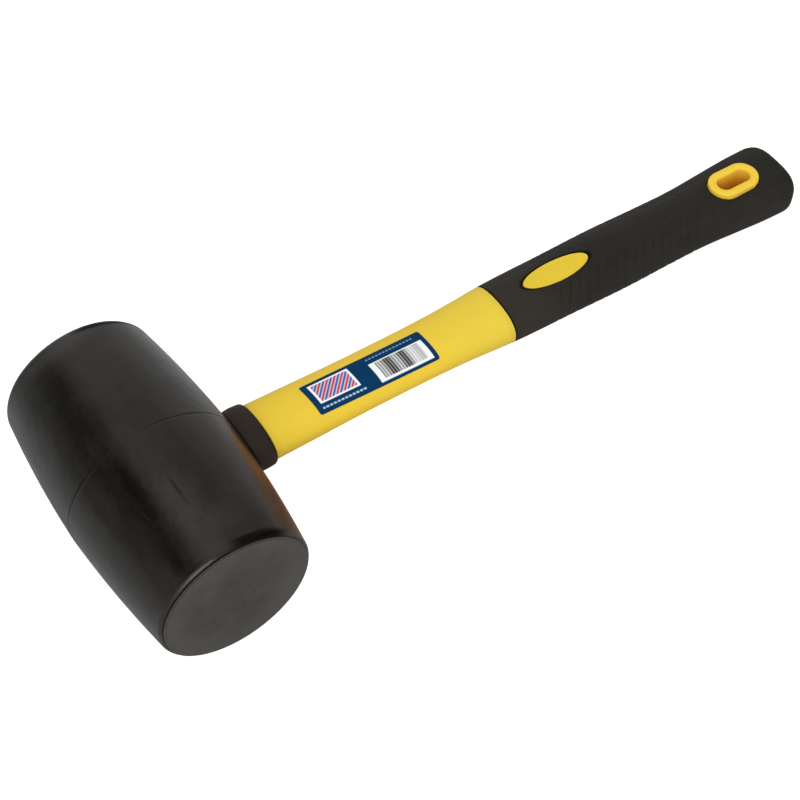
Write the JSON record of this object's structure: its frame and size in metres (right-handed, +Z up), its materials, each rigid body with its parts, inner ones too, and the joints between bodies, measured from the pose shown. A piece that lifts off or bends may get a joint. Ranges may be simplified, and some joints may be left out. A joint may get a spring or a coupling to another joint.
{
  "type": "rubber mallet",
  "caption": "Rubber mallet: black barrel head with two flat faces on a yellow fibreglass-cored shaft, with a soft neck collar, a soft grip with window inlays and a hang hole.",
  "frame": {"origin": "on the ground, under the middle of the mallet's box, as it lies at rest on its barrel and on the lip of its hang hole", "axes": "+X from the head towards the grip, Y along the head through both striking faces, +Z up from the ground; the shaft slopes down about 5 degrees towards the grip"},
  "size_m": [0.3382, 0.116, 0.0722],
  "materials": {
    "head_rubber": "semi-gloss moulded black rubber, dull scuffed striking faces",
    "adhesive": "cured amber adhesive",
    "glass_fibre": "pultruded glass-fibre rod",
    "yellow_plastic": "satin moulded yellow plastic with a fine spark-eroded texture",
    "collar_rubber": "matt black soft plastic",
    "grip_rubber": "matt black soft plastic with fine texture and side ribs",
    "label_film": "printed navy film with a white bar panel"
  },
  "bodies": {
    "root": {"head_barrel": "head_rubber", "socket_adhesive": "adhesive", "core_rod": "glass_fibre", "shaft_jacket": "yellow_plastic", "neck_collar": "collar_rubber", "grip_sleeve": "grip_rubber", "shaft_label": "label_film"}
  },
  "joints": []
}
